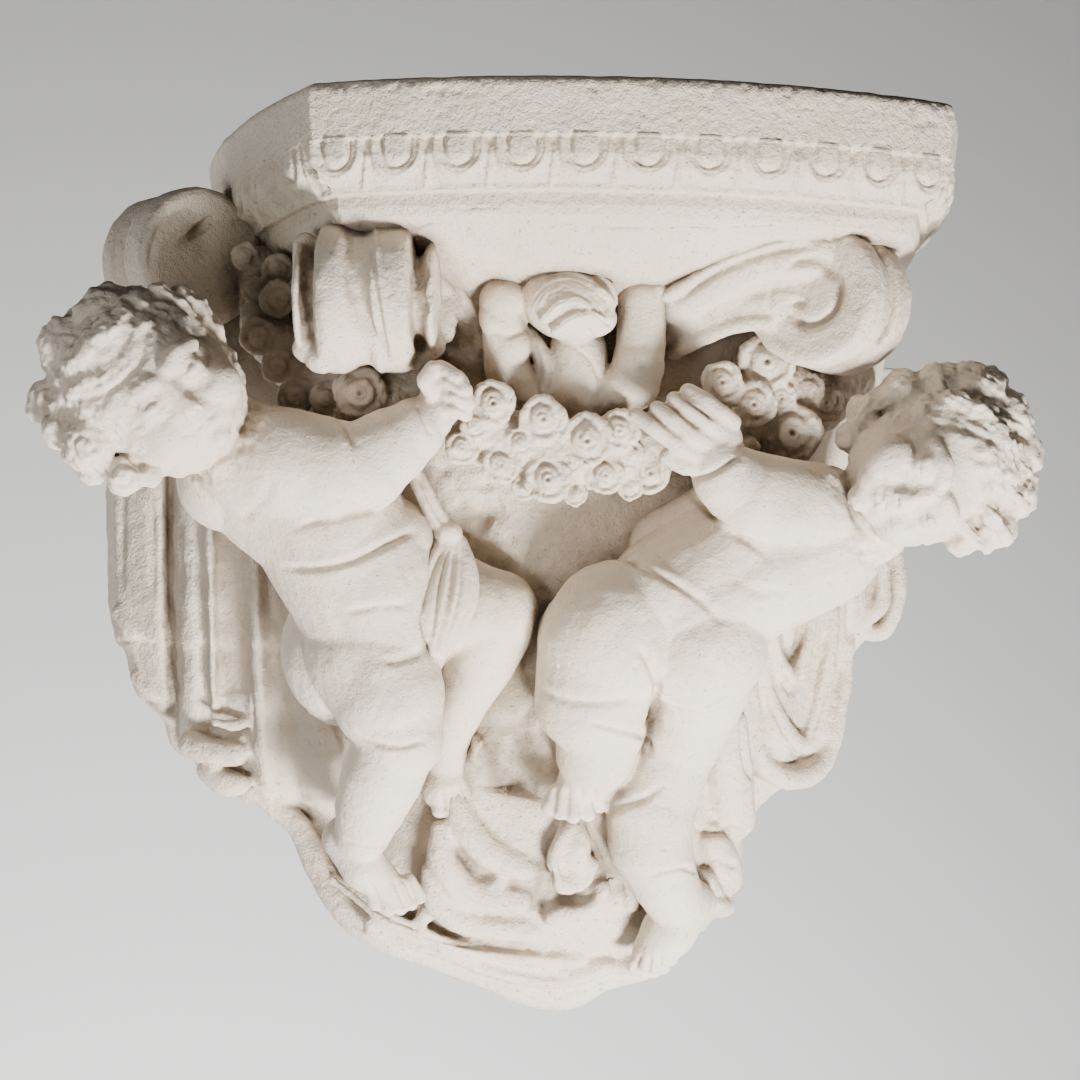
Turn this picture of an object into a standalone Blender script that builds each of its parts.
"""A wall capital cast in plaster: two children hold a rope of roses under a moulded abacus.

One casting, so one solid. X runs to the right, Y runs into the wall and Z up. The flat back is at
Y = 0, and the origin is the point on it where the capital is held.
"""

import math

import bmesh
import bpy
from mathutils import Matrix, Vector

# Driving sizes of the casting, in metres.

HEIGHT = 0.470
PART = HEIGHT / 470

# The moulded abacus: its plan is a bowed front between two bowed sides that run back to the wall.
ABACUS_TOP = 0.228
ABACUS_MIDDLE = 0.049
FRONT_WIDTH = 0.332
FRONT_REACH = 0.226
FRONT_BOW = 0.040
SIDE_FLARE = 0.039
SIDE_STRAIGHT = 0.010
TOP_EDGE = 0.005
FASCIA_HEIGHT = 0.0245
FASCIA_LEAN = 0.0025
EGG_BAND_HEIGHT = 0.0250
EGG_BAND_DROP_IN = 0.012
STEP_IN = 0.0015
FILLET_HEIGHT = 0.0065
FILLET_IN = 0.004
COVE_HEIGHT = 0.009
COVE_DEPTH = 0.011
EGG_SPACING = 0.0315
EGG_WIDTH = 0.014
EGG_HEIGHT = 0.018

# The scrolls under the abacus.
SCROLL_RADIUS = 0.038
SCROLL_WIDTH = 0.068
FILLET_RADIUS = 0.0045

# How finely the soft forms are drawn out, and how far the solid runs on before the wall cuts it.
GRAIN = PART * 4.2
FACE_SHARE = 0.062
PAST_WALL = 0.012

# The front view is laid out as it is seen from this distance, a little from the left and from below.
SEEN_FROM = PART * 1600
SEEN_TURN = math.radians(8.5)
SEEN_RISE = math.radians(4.0)
SEEN_PLANE = PART * 225

ALONG = Vector((math.sin(SEEN_TURN) * math.cos(SEEN_RISE), math.cos(SEEN_TURN) * math.cos(SEEN_RISE),
                math.sin(SEEN_RISE)))
ACROSS = Vector((math.cos(SEEN_TURN), -math.sin(SEEN_TURN), 0))
UPRIGHT = ACROSS.cross(ALONG)


def at(across, height, out):
    """The place that far out from the wall which the front view shows at across and height, in parts."""
    flat = (across * ACROSS + height * UPRIGHT) * PART
    depth = (SEEN_PLANE - out * PART - flat.y) / (ALONG.y + flat.y / SEEN_FROM)
    return Vector((0, -SEEN_PLANE, 0)) + flat * (1 + depth / SEEN_FROM) + ALONG * depth


# Soft forms: balls, limbs and lofted masses laid into one lump of clay.


def ball(clay, centre, radii, turn=0.0, lean=0.0):
    """An egg with its radii in parts along X, Y and Z, leaned about Y and turned about Z by degrees."""
    if not isinstance(radii, tuple):
        radii = (radii, radii, radii)
    place = (Matrix.Translation(centre) @ Matrix.Rotation(math.radians(turn), 4, "Z")
             @ Matrix.Rotation(math.radians(lean), 4, "Y")
             @ Matrix.Diagonal((radii[0] * PART, radii[1] * PART, radii[2] * PART, 1)))
    bmesh.ops.create_icosphere(clay, subdivisions=2, radius=1, matrix=place)


def limb(clay, *stations):
    """Round stations joined by tapered lengths. Each station is a place and a radius in parts."""
    for (start, wide), (end, narrow) in zip(stations, stations[1:]):
        run = end - start
        if run.length < 1e-6:
            continue
        place = Matrix.Translation((start + end) / 2) @ run.to_track_quat("Z", "Y").to_matrix().to_4x4()
        bmesh.ops.create_cone(clay, cap_ends=True, segments=14, radius1=wide * PART, radius2=narrow * PART,
                              depth=run.length, matrix=place)
    for place, radius in stations:
        ball(clay, place, radius)


def fold(clay, radius, *places):
    """A rounded ridge of even thickness through the places."""
    limb(clay, *[(place, radius) for place in places])


def mass(clay, rows):
    """The solid between a grid of places, given row by row from the top, and the wall behind it."""
    front = [[clay.verts.new(p) for p in row] for row in rows]
    back = [[clay.verts.new((p.x, PAST_WALL, p.z)) for p in row] for row in rows]
    last = len(rows) - 1
    wide = len(rows[0]) - 1
    faces = []
    for i in range(last):
        for j in range(wide):
            faces.append((front[i][j], front[i + 1][j], front[i + 1][j + 1], front[i][j + 1]))
            faces.append((back[i][j], back[i][j + 1], back[i + 1][j + 1], back[i + 1][j]))
        faces.append((front[i][0], back[i][0], back[i + 1][0], front[i + 1][0]))
        faces.append((front[i][wide], front[i + 1][wide], back[i + 1][wide], back[i][wide]))
    for j in range(wide):
        faces.append((front[0][j], front[0][j + 1], back[0][j + 1], back[0][j]))
        faces.append((front[last][j], back[last][j], back[last][j + 1], front[last][j + 1]))
    made = [clay.faces.new(f) for f in faces]
    bmesh.ops.recalc_face_normals(clay, faces=made)


def bell(clay):
    """The core: a bell that flares up to the abacus and narrows to a rounded tip at the wall."""
    half = FRONT_WIDTH / 2
    under = ABACUS_TOP - TOP_EDGE - FASCIA_HEIGHT - EGG_BAND_HEIGHT - FILLET_HEIGHT
    brow = FRONT_REACH + FRONT_BOW - FASCIA_LEAN - STEP_IN - EGG_BAND_DROP_IN - FILLET_IN
    flank = half + SIDE_FLARE - (FRONT_REACH + FRONT_BOW - brow)
    # Height, middle, half width, reach from the wall and squareness of each level.
    levels = [
        (under + 0.008, ABACUS_MIDDLE, flank - 0.012, brow - 0.010, 3.6),
        (under - 0.008, ABACUS_MIDDLE, flank - 0.014, brow - 0.012, 3.6),
        (under - 0.018, ABACUS_MIDDLE, flank - 0.018, brow - 0.028, 3.4),
        (under - 0.030, ABACUS_MIDDLE, flank - 0.022, brow - 0.052, 3.0),
    ]
    lower = [
        (118, 50, 176, 164, 2.7), (90, 50, 172, 154, 2.5), (40, 48, 165, 146, 2.3),
        (-20, 40, 140, 136, 2.2),
        (-80, 30, 122, 122, 2.2), (-130, 31, 120, 108, 2.2), (-170, 31, 116, 94, 2.3),
        (-200, 31, 100, 78, 2.3),
        (-222, 33, 72, 54, 2.2), (-238, 36, 36, 26, 2.0), (-247, 38, 10, 8, 2.0),
    ]
    for height, middle, wide, reach, square in lower:
        levels.append((height * PART, middle * PART, wide * PART, reach * PART, square))
    steps = 24
    rings = []
    for height, middle, wide, reach, square in levels:
        ring = [(middle + wide, PAST_WALL)]
        for k in range(steps + 1):
            turn = math.pi * k / steps
            c, s = math.cos(turn), math.sin(turn)
            x = middle + wide * math.copysign(abs(c) ** (2 / square), c)
            ring.append((x, -reach * abs(s) ** (2 / square)))
        ring.append((middle - wide, PAST_WALL))
        rings.append([clay.verts.new((x, y, height)) for x, y in ring])
    faces = [clay.faces.new(rings[0]), clay.faces.new(list(reversed(rings[-1])))]
    for upper, lowered in zip(rings, rings[1:]):
        for j in range(len(upper)):
            k = (j + 1) % len(upper)
            faces.append(clay.faces.new((upper[j], lowered[j], lowered[k], upper[k])))
    bmesh.ops.recalc_face_normals(clay, faces=faces)


# The abacus, with its run of eggs.


def corner_of(inset):
    """The front corner of the abacus, right of its middle, when every side is set in by inset."""
    half = FRONT_WIDTH / 2
    bow = (half * half + FRONT_BOW * FRONT_BOW) / (2 * FRONT_BOW)
    run = FRONT_REACH - SIDE_STRAIGHT
    side = (SIDE_FLARE * SIDE_FLARE + run * run) / (2 * SIDE_FLARE)
    front_centre = Vector((0, -FRONT_REACH - FRONT_BOW + bow))
    side_centre = Vector((half + SIDE_FLARE - side, -SIDE_STRAIGHT))
    r1, r2 = bow - inset, side - inset
    gap = side_centre - front_centre
    d = gap.length
    a = (r1 * r1 - r2 * r2 + d * d) / (2 * d)
    h = math.sqrt(max(r1 * r1 - a * a, 0))
    base = front_centre + gap * (a / d)
    turned = Vector((gap.y, -gap.x)) / d
    both = [base + turned * h, base - turned * h]
    corner = max(both, key=lambda p: p.x - p.y)
    return corner, front_centre, r1, side_centre, r2


def plan(inset, front_steps=12, side_steps=6):
    """The outline of the abacus from the wall at the left round to the right, set in by inset."""
    corner, front_centre, r1, side_centre, r2 = corner_of(inset)
    right = [Vector((side_centre.x + r2, PAST_WALL))]
    reach = math.atan2(corner.y - side_centre.y, corner.x - side_centre.x)
    for k in range(side_steps):
        turn = reach * k / side_steps
        right.append(side_centre + Vector((math.cos(turn), math.sin(turn))) * r2)
    front = []
    edge = math.atan2(corner.x - front_centre.x, front_centre.y - corner.y)
    for k in range(front_steps + 1):
        turn = edge * (1 - 2 * k / front_steps)
        front.append(front_centre + Vector((math.sin(turn), -math.cos(turn))) * r1)
    left = [Vector((-p.x, p.y)) for p in reversed(right)]
    return [Vector((p.x + ABACUS_MIDDLE, p.y)) for p in right + front + left]


def abacus_profile():
    """Height and inset of every level of the abacus, from the top down."""
    z = ABACUS_TOP
    levels = [(z, TOP_EDGE * 0.8), (z - TOP_EDGE * 0.35, TOP_EDGE * 0.2), (z - TOP_EDGE, 0)]
    z -= TOP_EDGE + FASCIA_HEIGHT
    levels.append((z, FASCIA_LEAN))
    inset = FASCIA_LEAN + STEP_IN
    levels.append((z - 0.0006, inset))
    for share in (0.36, 0.62, 0.82, 1.0):
        levels.append((z - EGG_BAND_HEIGHT * share, inset + EGG_BAND_DROP_IN * share ** 3))
    z -= EGG_BAND_HEIGHT
    inset += EGG_BAND_DROP_IN + FILLET_IN
    levels.append((z - 0.0006, inset))
    levels.append((z - FILLET_HEIGHT, inset + 0.0005))
    for share in (0.5, 1.0):
        levels.append((z - FILLET_HEIGHT - COVE_HEIGHT * share, inset + COVE_DEPTH * share ** 2))
    return levels


def abacus_block():
    """The moulded block, lofted level by level through its plan."""
    block = bmesh.new()
    rings = []
    for height, inset in abacus_profile():
        rings.append([block.verts.new((p.x, p.y, height)) for p in plan(inset)])
    block.faces.new(rings[0])
    block.faces.new(list(reversed(rings[-1])))
    for upper, lower in zip(rings, rings[1:]):
        for j in range(len(upper)):
            k = (j + 1) % len(upper)
            block.faces.new((upper[j], lower[j], lower[k], upper[k]))
    bmesh.ops.recalc_face_normals(block, faces=block.faces)
    return block


def egg_places():
    """Where each egg sits on its band: its place and the way the face looks there."""
    inset = FASCIA_LEAN + STEP_IN
    corner, front_centre, r1, side_centre, r2 = corner_of(inset)
    height = ABACUS_TOP - TOP_EDGE - FASCIA_HEIGHT - EGG_BAND_HEIGHT * 0.34
    places = []
    edge = math.atan2(corner.x - front_centre.x, front_centre.y - corner.y)
    count = int(2 * edge * r1 / EGG_SPACING)
    for k in range(count):
        turn = (k - (count - 1) / 2) * EGG_SPACING / r1
        look = Vector((math.sin(turn), -math.cos(turn)))
        spot = front_centre + look * r1
        places.append((Vector((spot.x + ABACUS_MIDDLE, spot.y, height)), look))
    reach = -math.atan2(corner.y - side_centre.y, corner.x - side_centre.x)
    count = int(reach * r2 / EGG_SPACING)
    for k in range(count):
        turn = -reach + (k + 0.75) * EGG_SPACING / r2
        look = Vector((math.cos(turn), math.sin(turn)))
        spot = side_centre + look * r2
        for side in (1, -1):
            place = Vector((side * spot.x + ABACUS_MIDDLE, spot.y, height))
            places.append((place, Vector((side * look.x, look.y))))
    return places


def eggs():
    """The run of eggs, half sunk in their band."""
    row = bmesh.new()
    for place, look in egg_places():
        turn = math.atan2(look.y, look.x) + math.pi / 2
        matrix = (Matrix.Translation(place) @ Matrix.Rotation(turn, 4, "Z") @ Matrix.Rotation(0.12, 4, "X")
                  @ Matrix.Diagonal((EGG_WIDTH / 2, EGG_WIDTH * 0.42, EGG_HEIGHT / 2, 1)))
        bmesh.ops.create_uvsphere(row, u_segments=6, v_segments=4, radius=1, matrix=matrix)
    return row


# The scrolls.


def scroll(clay, centre, facing, radius, width, turns=1.4):
    """A scroll that looks outwards at the facing angle, degrees from the front towards the right."""
    facing = math.radians(facing)
    out = Vector((math.sin(facing), -math.cos(facing), 0))
    axle = Vector((math.cos(facing), math.sin(facing), 0))
    turn = axle.to_track_quat("Z", "Y").to_matrix().to_4x4()
    for share, size in ((1.0, 0.74), (0.94, 0.86), (0.30, 0.97)):
        place = Matrix.Translation(centre) @ turn
        bmesh.ops.create_cone(clay, cap_ends=True, segments=28, radius1=radius * size,
                              radius2=radius * size,
                              depth=width * share - 0.010, matrix=place)
    for side in (-1, 1):
        for offset in (0.5, 0.27):
            hoop(clay, centre + axle * side * (width * offset - FILLET_RADIUS), out, radius - FILLET_RADIUS)
        flank = centre + axle * side * (width * 0.5 - FILLET_RADIUS)
        count = int(14 * turns)
        curl = []
        for k in range(count + 1):
            share = k / count
            angle = math.pi * 0.35 - share * turns * 2 * math.pi
            size = (radius - FILLET_RADIUS) * (1 - 0.74 * share)
            spot = flank + (out * math.cos(angle) + Vector((0, 0, 1)) * math.sin(angle)) * size
            curl.append((spot, FILLET_RADIUS / PART * (1 - 0.25 * share)))
        limb(clay, *curl)
        ball(clay, flank, radius * 0.20 / PART)


def hoop(clay, centre, out, radius, steps=20):
    """A ring of round section in the upright plane through out."""
    ring = []
    for k in range(steps + 1):
        angle = 2 * math.pi * k / steps
        spot = centre + (out * math.cos(angle) + Vector((0, 0, 1)) * math.sin(angle)) * radius
        ring.append((spot, FILLET_RADIUS / PART))
    limb(clay, *ring)


def scrolls(clay):
    """Two scrolls under the front corners and one at the rear left, each with the band that feeds it."""
    radius, width = SCROLL_RADIUS, SCROLL_WIDTH
    scroll(clay, at(-86, 121, 192), -12, radius, width)
    fold(clay, 14, at(-70, 147.5, 185), at(-50, 139, 165), at(-44, 110, 150), at(-39, 80, 140))
    fold(clay, 5, at(-55, 156, 190), at(-39, 147.5, 176), at(-33, 132.5, 168), at(-30, 110, 160),
         at(-26.5, 85, 150))
    fold(clay, 5, at(-58, 110, 182), at(-46.5, 102.5, 170), at(-42, 84, 160))
    scroll(clay, at(146, 120, 176), 52, radius, width)
    fold(clay, 12, at(130, 139, 176), at(100, 129, 176), at(75, 116, 166), at(60, 102.5, 150))
    fold(clay, 12, at(130, 120, 172), at(100, 117, 170), at(80, 107.5, 158))
    fold(clay, 4, at(136, 154, 186), at(112.5, 147.5, 190), at(89, 134, 186), at(63.5, 118.5, 172))
    fold(clay, 4, at(110, 111, 182), at(96.5, 108, 178), at(67, 96, 162))
    scroll(clay, at(-177, 136, 72), -70, radius * 0.95, width * 0.8)
    fold(clay, 14, at(-162.5, 154, 90), at(-139, 139, 120), at(-125, 110, 120))


# Hair and roses.


def curls(clay, size, *places):
    """Round locks of hair."""
    for place in places:
        ball(clay, place, size)


def rose(clay, place, size):
    """A flat round rose: a cushion with a raised bud."""
    ball(clay, place, (size, size * 0.62, size))
    ball(clay, place + Vector((0, -size * 0.45, 0)) * PART, (size * 0.5, size * 0.42, size * 0.5))


def garland(clay):
    """The rope of roses that hangs between the two children's hands and runs on under both scrolls."""
    limb(clay, (at(-47.5, 67.5, 178), 13), (at(-30, 54, 176), 18), (at(5, 42.5, 176), 20),
         (at(35, 44, 176), 20),
         (at(57.5, 46, 174), 15))
    limb(clay, (at(95, 57.5, 160), 20), (at(112.5, 75, 160), 22), (at(136, 71, 150), 20),
         (at(155, 80, 130), 14))
    limb(clay, (at(-50, 75, 165), 14), (at(-85, 77.5, 160), 18), (at(-115, 80, 130), 16),
         (at(-137.5, 105, 110), 14),
         (at(-139, 135, 95), 14))
    roses = (
        (at(-23.5, 68.5, 194), 10.5), (at(1.5, 60.5, 196), 11), (at(23.5, 50, 197), 12.5),
        (at(39.5, 55, 194), 10),
        (at(-39, 46, 188), 8), (at(-19.5, 37.5, 188), 9), (at(4, 30.5, 190), 11), (at(32.5, 32.5, 190), 9),
        (at(55, 33.5, 184), 9.5), (at(113.5, 89.5, 178), 13.5), (at(91, 79, 180), 10),
        (at(134.5, 75.5, 170), 8),
        (at(144, 68.5, 162), 9), (at(126.5, 53.5, 174), 14), (at(103.5, 46.5, 176), 6),
        (at(107, 68, 180), 11),
        (at(-90, 73.5, 176), 12.5), (at(-98, 61, 170), 6), (at(-122, 72, 148), 9), (at(-141, 102, 126), 9),
        (at(-131, 120.5, 126), 9), (at(-131, 135, 116), 8), (at(-147.5, 142, 104), 7),
    )
    for place, size in roses:
        rose(clay, place, size)


# The two large children and the small one between them.


def left_child(clay):
    """The child at the left, leaning out under its scroll, turned three quarters to the front."""
    # Head, with a mass of round locks over the crown
    ball(clay, at(-202.5, 84, 186), (46, 46, 46))
    ball(clay, at(-179, 71, 200), (31, 32, 37), lean=-20)
    ball(clay, at(-172, 54, 206), (14, 12, 12))
    curls(clay, 12, at(-237, 102.5, 178), at(-242, 79, 180), at(-239, 57.5, 184), at(-224, 42.5, 188),
          at(-206.5, 36, 192),
          at(-229, 116, 175), at(-210, 121.5, 178), at(-190, 120, 180), at(-172, 111, 184),
          at(-221, 100, 208),
          at(-230, 77.5, 210), at(-222.5, 57.5, 214), at(-200, 109, 214), at(-214, 77.5, 226),
          at(-195, 120, 200))
    curls(clay, 10, at(-247.5, 68.5, 180), at(-226.5, 45, 200), at(-207.5, 29, 196), at(-240, 95, 195))
    limb(clay, (at(-167.5, 62.5, 178), 23), (at(-150, 42.5, 160), 27))
    # Trunk
    limb(clay, (at(-139, 33, 150), 36.5), (at(-108, 11.5, 151), 41), (at(-90, -18, 149), 40.5),
         (at(-80, -45, 141), 38))
    ball(clay, at(-156, 31, 150), 27)
    ball(clay, at(-77.5, -2.5, 152), (26, 26, 24))
    ball(clay, at(-97.5, -55, 124), (34, 34, 40))
    # The near arm, bent up to the roses
    limb(clay, (at(-145, 39, 172), 29), (at(-114, 36, 184), 27), (at(-87, 39, 186), 22))
    limb(clay, (at(-87, 41, 186), 22), (at(-70, 50, 191), 18.5), (at(-55, 60, 195), 13))
    ball(clay, at(-47, 72, 196), (13, 12, 15), lean=20)
    for start, end in ((at(-56, 84, 204), at(-48, 77, 208)), (at(-50, 80, 206), at(-42, 72, 208)),
                       (at(-47, 74, 206), at(-38, 66, 206)), (at(-48, 67, 204), at(-39, 61, 202))):
        limb(clay, (start, 4.5), (end, 4.5))
    # The near leg
    limb(clay, (at(-85, -57.5, 144), 35), (at(-75, -79, 152), 30), (at(-70, -99, 152), 23))
    limb(clay, (at(-72, -101, 150), 22), (at(-81, -122.5, 138), 21), (at(-89, -146, 120), 15))
    foot(clay, at(-97.5, -148, 110), at(-87, -163, 112), at(-74, -176.5, 110),
         (at(-81, -182.5, 112), at(-75, -184, 112), at(-69.5, -183.5, 110), at(-64.5, -181.5, 108),
          at(-60, -178, 104)))
    # The far leg, its knee raised
    limb(clay, (at(-65, -37.5, 122), 29), (at(-42.5, -32.5, 132), 27), (at(-21, -37, 138), 22))
    limb(clay, (at(-21, -40, 136), 21), (at(-33, -64, 126), 18), (at(-45, -90, 110), 14),
         (at(-48, -115, 96), 11))
    foot(clay, at(-50, -116, 92), at(-48, -123, 95), at(-43, -129, 97),
         (at(-49.5, -134, 97), at(-45, -133.5, 98), at(-41, -132.5, 98), at(-37.5, -130.5, 97),
          at(-34.5, -127.5, 96)))


def foot(clay, heel, middle, ball_of_foot, toes):
    """A short plump foot and its toes."""
    limb(clay, (heel, 13), (middle, 13.5), (ball_of_foot, 10))
    for toe in toes:
        ball(clay, toe, 4.6)


def sash(clay):
    """The sash of the left child: a strap, a knot and four pleats that fan over the thigh."""
    fold(clay, 5, at(-61, 31, 160), at(-55, 17.5, 160), at(-50, 3, 158))
    ball(clay, at(-47, 2, 160), 7)
    limb(clay, (at(-47, 1, 158), 7), (at(-50, -25, 158), 16), (at(-51, -50, 162), 7))
    for foot_of_pleat in (at(-61, -36, 178), at(-53, -55, 176), at(-46, -50, 172), at(-39, -40, 164)):
        limb(clay, (at(-47, 0, 164), 3), (foot_of_pleat, 4))


def right_child(clay):
    """The child at the right, seen from behind, its head laid out to the right."""
    ball(clay, at(202, 42, 186), (43, 42, 43))
    ball(clay, at(180, 25, 196), (28, 30, 30))
    curls(clay, 10, at(182.5, 76, 180), at(204, 81, 182), at(224, 74, 184), at(237, 58, 186),
          at(241, 37.5, 186),
          at(236, 17.5, 188), at(223, 2.5, 190), at(210, 72.5, 205), at(230, 50, 208), at(230, 25, 208),
          at(166, 66, 184))
    limb(clay, (at(172.5, 17.5, 176), 24), (at(150, 5, 166), 28))
    # Back and seat
    limb(clay, (at(136, 1, 158), 39), (at(111, -8, 158), 41), (at(88, -21, 154), 41),
         (at(70, -34, 150), 42))
    limb(clay, (at(90, 10, 150), 22), (at(64, -4, 138), 22))
    ball(clay, at(80, -51, 158), (36, 34, 36))
    ball(clay, at(39, -46, 158), (38, 34, 38))
    # The near arm and its hand over the roses
    limb(clay, (at(136, 12.5, 178), 25), (at(110, 20, 190), 24), (at(93, 31, 196), 18),
         (at(87, 41, 198), 14))
    ball(clay, at(86, 50, 200), (17, 13, 15))
    for start, end in ((at(46, 66, 206), at(68, 50, 212)), (at(55, 67, 208), at(74, 53, 214)),
                       (at(64, 70, 208), at(80, 58, 214)), (at(70, 74, 206), at(86, 63, 212))):
        limb(clay, (start, 4.6), (end, 5.2))
    # The near leg, drawn up so that its foot hangs below the seat
    limb(clay, (at(31, -50, 152), 34), (at(26, -80, 142), 30), (at(28, -105, 126), 23),
         (at(24, -117.5, 116), 17))
    foot(clay, at(26, -114, 112), at(20, -122, 118), at(17, -128, 120),
         (at(6, -133, 122), at(11.5, -135, 124), at(17.5, -136, 124), at(24, -134, 122), at(30, -131, 118)))
    # The far leg, reaching down to the hem
    limb(clay, (at(80, -67.5, 138), 30), (at(72.5, -100, 118), 24), (at(60, -130, 112), 23))
    limb(clay, (at(56, -136, 112), 23), (at(55, -155, 104), 20), (at(63, -176, 92), 14))
    foot(clay, at(77, -181.5, 82), at(66, -193, 84), at(56, -205, 80),
         (at(48, -213, 78), at(52.5, -214, 76), at(58, -213, 74)))


def small_child(clay):
    """The small child between them, its head bowed under the abacus and both arms raised."""
    limb(clay, (at(-10, 72.5, 168), 14), (at(-17.5, 95, 172), 12), (at(-17.5, 120, 180), 13))
    limb(clay, (at(30, 72.5, 168), 13), (at(47, 80, 178), 13), (at(51, 120, 182), 13))
    ball(clay, at(14, 119, 184), (25, 21, 19), lean=12)
    curls(clay, 8, at(-4, 120, 186), at(2.5, 131, 186), at(15, 135, 186), at(29, 131, 186),
          at(36, 121, 186))
    limb(clay, (at(20, 94, 168), 15), (at(19, 71, 166), 17))
    fold(clay, 5, at(-5, 102.5, 170), at(0, 90, 172), at(3, 72.5, 172))


# The cloth behind the children, with its rolled hem.


def cloth(clay):
    """The cloth behind both children: the ground it covers, its hanging folds and its hem."""
    mass(clay, [
        (at(-200, 125, 12), at(-175, 125, 38), at(-150, 122.5, 66), at(-120, 120, 92)),
        (at(-211, 80, 14), at(-180, 80, 40), at(-147.5, 80, 74), at(-115, 77.5, 100)),
        (at(-216, 39, 14), at(-180, 39, 40), at(-145, 39, 78), at(-110, 39, 110)),
        (at(-214, -10, 16), at(-180, -10, 42), at(-145, -10, 78), at(-105, -10, 110)),
        (at(-213, -35, 16), at(-177.5, -40, 42), at(-140, -50, 76), at(-95, -55, 106)),
        (at(-199, -75, 14), at(-170, -80, 40), at(-130, -90, 70), at(-85, -100, 96)),
        (at(-180, -104, 12), at(-157, -114, 34), at(-120, -125, 60), at(-75, -130, 88)),
        (at(-139, -128, 10), at(-125, -136, 28), at(-100, -150, 56), at(-60, -160, 80)),
        (at(-107.5, -166, 8), at(-97.5, -172, 36), at(-80, -180, 66), at(-45, -190, 76)),
        (at(-75, -204, 8), at(-70, -199, 30), at(-57.5, -199, 50), at(-30, -205, 60)),
    ])
    mass(clay, [
        (at(100, 85, 110), at(130, 86, 84), at(160, 87, 48), at(180, 86, 12)),
        (at(100, 40, 112), at(130, 40, 86), at(160, 40, 50), at(181.5, 40, 14)),
        (at(100, 5, 118), at(130, 5, 94), at(160, 0, 58), at(181.5, -4, 18)),
        (at(99, -30, 114), at(125, -30, 92), at(149, -31, 62), at(173, -33, 18)),
        (at(95, -60, 108), at(117.5, -60, 86), at(136, -62, 62), at(152, -64, 22)),
        (at(87.5, -95, 100), at(107.5, -97.5, 78), at(127.5, -102.5, 54), at(147, -105, 18)),
        (at(80, -125, 94), at(92.5, -127.5, 70), at(102.5, -130, 42), at(110, -132.5, 14)),
        (at(75, -160, 82), at(82.5, -162.5, 56), at(89, -165, 34), at(96, -167.5, 10)),
        (at(65, -190, 76), at(72.5, -192.5, 50), at(78, -195, 30), at(82, -196, 8)),
    ])
    # Hanging folds at the left
    limb(clay, (at(-203.5, 35, 24), 13), (at(-202, -10, 26), 13), (at(-201, -36, 26), 12),
         (at(-207, -43, 22), 8))
    limb(clay, (at(-195, -50, 28), 9), (at(-192, -75, 28), 8), (at(-190, -84, 26), 6))
    limb(clay, (at(-176, 28, 42), 8), (at(-175, -30, 44), 9), (at(-173, -80, 44), 12),
         (at(-175, -102, 34), 9))
    limb(clay, (at(-167, 20, 60), 4), (at(-164, -30, 60), 4), (at(-161, -90, 56), 4))
    limb(clay, (at(-147, -2.5, 74), 6), (at(-142, -55, 74), 8), (at(-141, -90, 68), 9),
         (at(-139, -120, 50), 8))
    limb(clay, (at(-156, -94, 44), 12), (at(-156, -121, 34), 11))
    limb(clay, (at(-128, -20, 92), 5), (at(-121, -60, 88), 6), (at(-112, -100, 78), 7),
         (at(-105, -130, 62), 8))
    limb(clay, (at(-120, -55, 98), 4), (at(-105, -80, 96), 4), (at(-97.5, -90, 94), 4))
    # The hem, rolled from the left round the tip
    limb(clay, (at(-147, -123, 24), 6), (at(-122, -141, 28), 7), (at(-105, -166, 38), 9),
         (at(-84, -189, 48), 10),
         (at(-60, -200, 52), 10), (at(-32.5, -211, 48), 11), (at(0, -218, 40), 13), (at(28, -213, 46), 11))
    # Folds between the feet
    limb(clay, (at(10, -139, 92), 5), (at(-10, -162.5, 88), 6), (at(-39, -181, 82), 6))
    limb(clay, (at(16, -151, 98), 9), (at(15, -170, 94), 8), (at(11, -182.5, 88), 5))
    limb(clay, (at(-30, -155, 82), 5), (at(-50, -180, 78), 6))
    # Swags and hanging pieces at the right
    limb(clay, (at(166, -10, 40), 8), (at(172, -28, 32), 9), (at(165, -45, 30), 7))
    for inner, low, outer, deep in ((at(110, -30, 90), at(125, -57.5, 78), at(137.5, -22.5, 80), 4),
                                    (at(106, -50, 84), at(128, -82.5, 68), at(148, -30, 62), 5),
                                    (at(105, -75, 76), at(132, -106, 48), at(151, -55, 34), 6)):
        limb(clay, (inner, deep), ((inner + low) / 2 + Vector((-4, -3, -8)) * PART, deep),
             (low, deep * 1.2),
             ((outer + low) / 2 + Vector((6, -3, -6)) * PART, deep), (outer, deep))
    limb(clay, (at(80, -100, 92), 10), (at(91, -120, 72), 12), (at(100, -140, 44), 10))
    limb(clay, (at(83, -150, 72), 9), (at(93, -165, 44), 8), (at(88, -180, 30), 6))
    ball(clay, at(-30, -102, 100), 6)


# From clay to one solid.


def lump(parts, grain):
    """All the soft forms drawn into one skin, smoothed, with only its outer shell kept."""
    clay = bmesh.new()
    for part in parts:
        part(clay)
    rough = bpy.data.meshes.new("clay")
    clay.to_mesh(rough)
    clay.free()
    body = bpy.data.objects.new("clay", rough)
    bpy.context.scene.collection.objects.link(body)
    skin = body.modifiers.new("skin", "REMESH")
    skin.mode = "VOXEL"
    skin.voxel_size = grain
    soften = body.modifiers.new("soften", "SMOOTH")
    soften.factor = 0.5
    soften.iterations = 3
    thin = body.modifiers.new("thin", "DECIMATE")
    thin.ratio = FACE_SHARE
    graph = bpy.context.evaluated_depsgraph_get()
    mesh = bpy.data.meshes.new_from_object(body.evaluated_get(graph))
    bpy.data.objects.remove(body)
    bpy.data.meshes.remove(rough)
    print("skin", len(mesh.polygons), "faces")
    keep_outer_shell(mesh)
    return mesh


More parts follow.
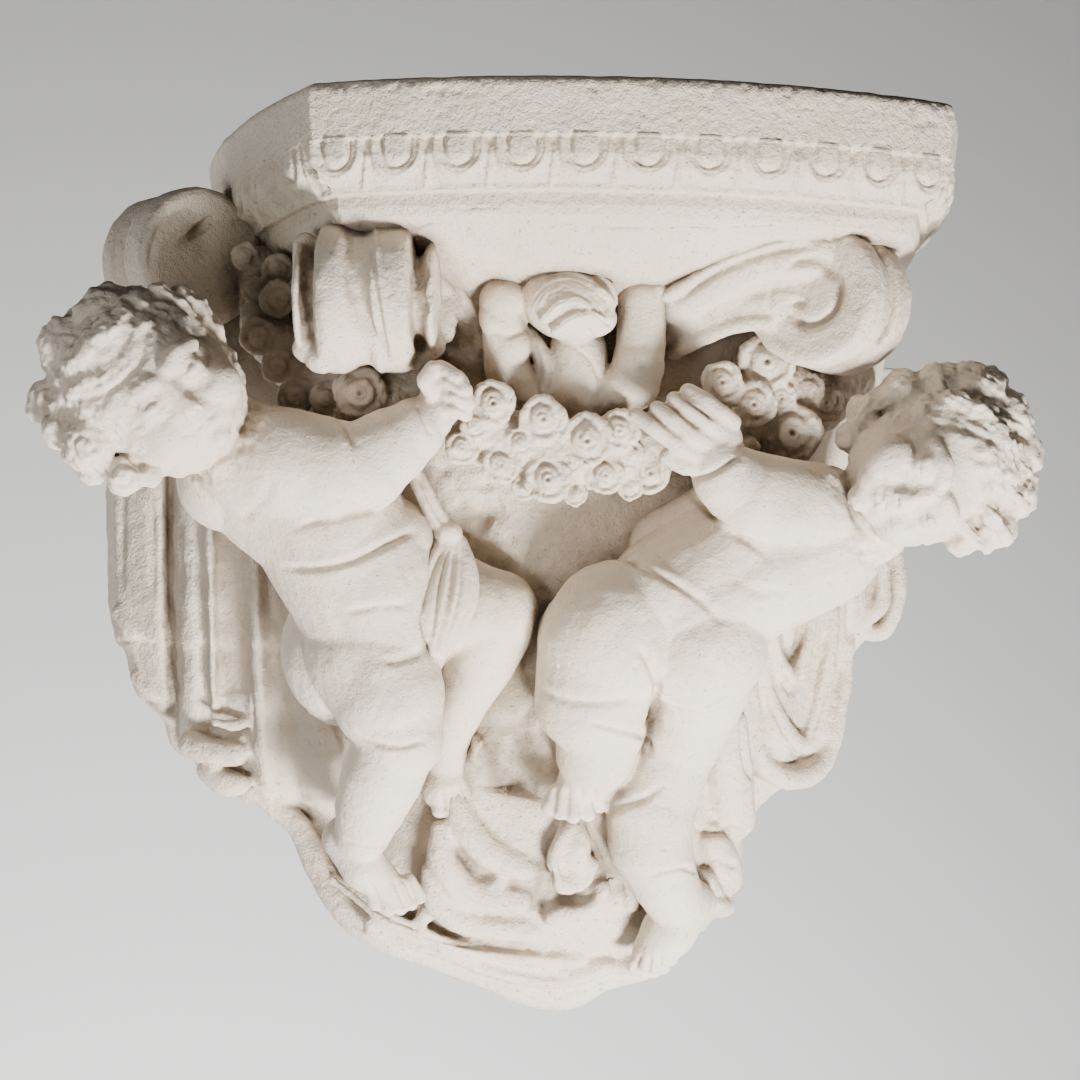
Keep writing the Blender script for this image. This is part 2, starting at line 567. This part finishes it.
def keep_outer_shell(mesh):
    """Drops closed hollows and crumbs, and keeps the largest connected skin."""
    shape = bmesh.new()
    shape.from_mesh(mesh)
    left = set(shape.verts)
    shells = []
    while left:
        queue = [left.pop()]
        shell = set(queue)
        while queue:
            for edge in queue.pop().link_edges:
                for vert in edge.verts:
                    if vert not in shell:
                        shell.add(vert)
                        queue.append(vert)
        left -= shell
        shells.append(shell)
    shells.sort(key=len)
    loose = [vert for shell in shells[:-1] for vert in shell]
    bmesh.ops.delete(shape, geom=loose, context="VERTS")
    shape.to_mesh(mesh)
    shape.free()


def add_object(name, mesh, group):
    thing = bpy.data.objects.new(name, mesh)
    group.objects.link(thing)
    return thing


def boolean(target, other, operation):
    step = target.modifiers.new(f"{operation.lower()} {other.name}", "BOOLEAN")
    step.object = other
    step.operation = operation
    step.solver = "EXACT"


def mesh_of(shape, name):
    mesh = bpy.data.meshes.new(name)
    shape.to_mesh(mesh)
    shape.free()
    return mesh


def main():
    for thing in list(bpy.data.objects):
        bpy.data.objects.remove(thing)
    group = bpy.data.collections.new("corbel_capital")
    cutters = bpy.data.collections.new("cutters")
    bpy.context.scene.collection.children.link(group)
    bpy.context.scene.collection.children.link(cutters)

    body = lump((bell, scrolls, garland, left_child, sash, right_child, small_child, cloth), GRAIN)
    capital = add_object("corbel_capital", body, group)
    block = add_object("abacus_block", mesh_of(abacus_block(), "abacus_block"), cutters)
    row = add_object("egg_row", mesh_of(eggs(), "egg_row"), cutters)
    wall = bmesh.new()
    bmesh.ops.create_cube(wall, size=1, matrix=Matrix.Translation((0, 0.5, 0)))
    wall_block = add_object("wall_block", mesh_of(wall, "wall_block"), cutters)
    for cutter in (block, row, wall_block):
        cutter.hide_render = True
        cutter.display_type = "WIRE"
    boolean(block, row, "UNION")
    boolean(capital, block, "UNION")
    boolean(capital, wall_block, "DIFFERENCE")

    plaster = bpy.data.materials.new("plaster")
    plaster.use_nodes = True
    surface = plaster.node_tree.nodes["Principled BSDF"]
    surface.inputs["Base Color"].default_value = (0.72, 0.68, 0.61, 1)
    surface.inputs["Roughness"].default_value = 0.85
    surface.inputs["Metallic"].default_value = 0
    capital.data.materials.clear()
    capital.data.materials.append(plaster)


main()
